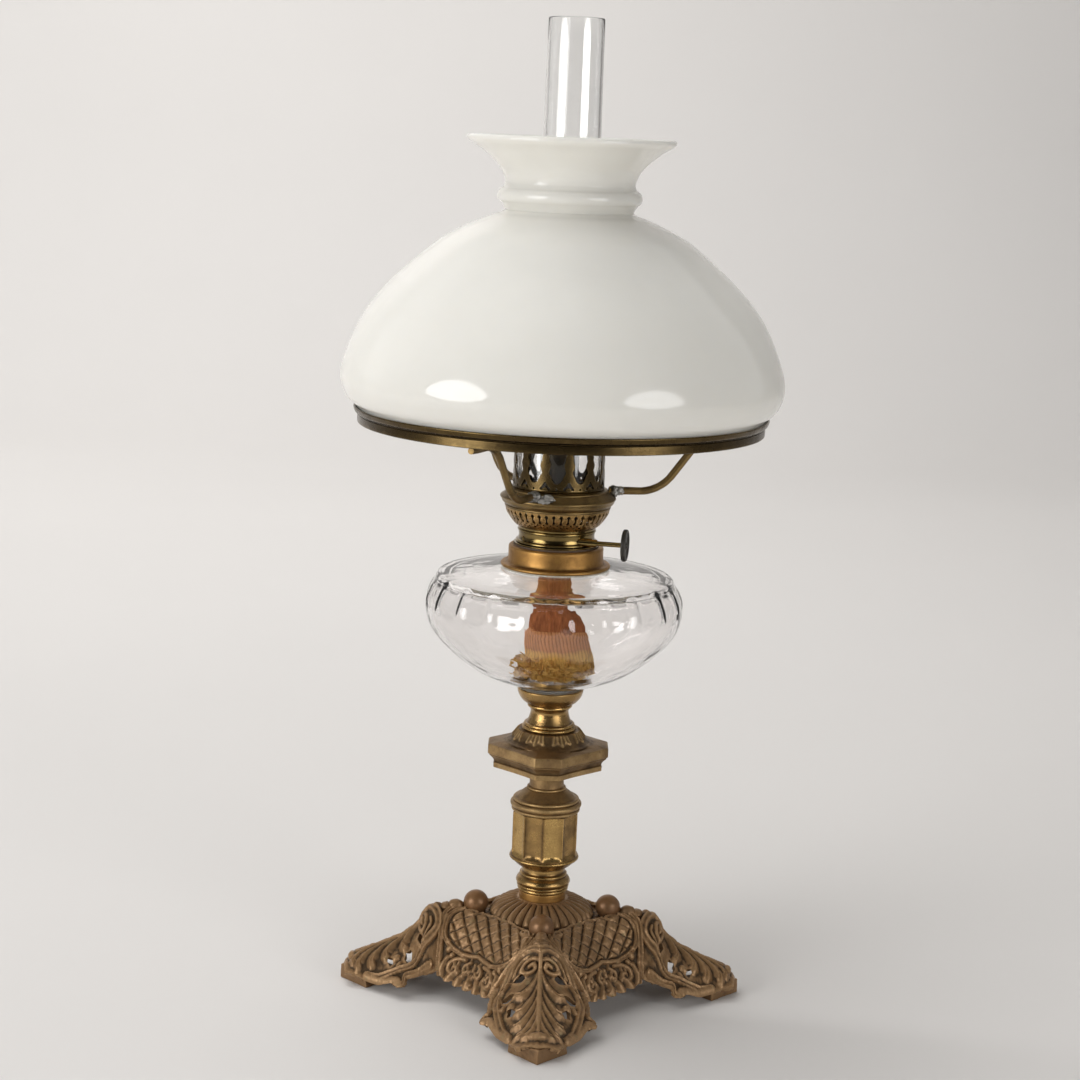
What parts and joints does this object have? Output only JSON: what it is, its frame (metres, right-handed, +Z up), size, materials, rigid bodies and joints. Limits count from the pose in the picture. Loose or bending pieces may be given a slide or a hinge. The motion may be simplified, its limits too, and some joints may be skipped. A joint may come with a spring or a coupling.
{
  "type": "kerosene table lamp",
  "caption": "Kerosene table lamp: opal glass shade and clear chimney over a pierced brass burner, pressed-glass font, turned stem and pierced footed base.",
  "frame": {"origin": "on the floor under the lamp's upright axis, the middle of the bounding box's bottom", "axes": "+Z up, -Y to the front foot, +X to the side of the wick knob"},
  "size_m": [0.2596, 0.2596, 0.5808],
  "materials": {
    "bronze": "brown bronzed casting, worn on the edges",
    "ball_bronze": "smooth brown bronze",
    "gilt": "orange gilding, worn",
    "stem_brass": "gilt brass with brown hollows",
    "steel": "plain steel",
    "plaster": "plaster",
    "clear_glass": "clear pressed glass",
    "washer_leather": "leather",
    "polished_brass": "polished",
    "aged_brass": "aged, brown patina",
    "solder": "grey soft solder",
    "dark_brass": "dark patina",
    "cotton": "woven cotton, oil stained",
    "chimney_glass": "thin clear glass",
    "opal_glass": "glossy opal white"
  },
  "bodies": {
    "stand": {"base_casting": "bronze", "corner_balls": "ball_bronze", "base_collar": "gilt", "lower_knop": "stem_brass", "column_drum": "stem_brass", "column_cap": "stem_brass", "square_plate": "stem_brass", "font_cup": "stem_brass", "tie_rod": "steel", "tie_nut": "steel", "tie_washer": "steel", "cup_nut": "steel", "cup_plaster": "plaster", "font": "clear_glass", "collar_plaster": "plaster", "font_collar": "gilt"},
    "seal": {"burner_washer": "washer_leather"},
    "burner": {"burner_neck": "polished_brass", "air_basket": "aged_brass", "burner_band": "aged_brass", "chimney_gallery": "aged_brass", "outer_tube": "aged_brass", "draught_tube": "aged_brass", "spindle_sleeve": "aged_brass", "shade_arms": "aged_brass", "solder_joints": "solder", "shade_ring": "aged_brass"},
    "knob": {"wick_spindle": "aged_brass", "wick_cogs": "aged_brass", "wick_knob": "dark_brass", "knob_rivet": "dark_brass"},
    "wick": {"wick": "cotton"},
    "chimney": {"chimney": "chimney_glass"},
    "shade": {"shade": "opal_glass"}
  },
  "joints": [
    {"name": "burner_rise", "type": "slide", "parent": "stand", "child": "seal", "axis": [0, 0, 1], "range_m": [0, 0.0061]},
    {"name": "burner_turn", "type": "hinge", "parent": "seal", "child": "burner", "pos_m": [0, 0, 0.2766], "axis": [0, 0, 1], "range_deg": [0, 1080]},
    {"name": "knob_turn", "type": "hinge", "parent": "burner", "child": "knob", "pos_m": [-0.00267, -0.01374, 0.2806], "axis": [0.9816, -0.1908, 0], "range_deg": [0, 221]},
    {"name": "wick_rise", "type": "slide", "parent": "burner", "child": "wick", "axis": [0, 0, 1], "range_m": [0, 0.012]},
    {"name": "chimney_lift", "type": "slide", "parent": "burner", "child": "chimney", "axis": [0, 0, 1], "range_m": [0, 0.28]},
    {"name": "shade_lift", "type": "slide", "parent": "burner", "child": "shade", "axis": [0, 0, 1], "range_m": [0, 0.26]}
  ],
  "couplings": [
    {"joint": "burner_rise", "follows": "burner_turn", "m_per_rad": 0.00031831},
    {"joint": "wick_rise", "follows": "knob_turn", "m_per_rad": 0.0031}
  ]
}
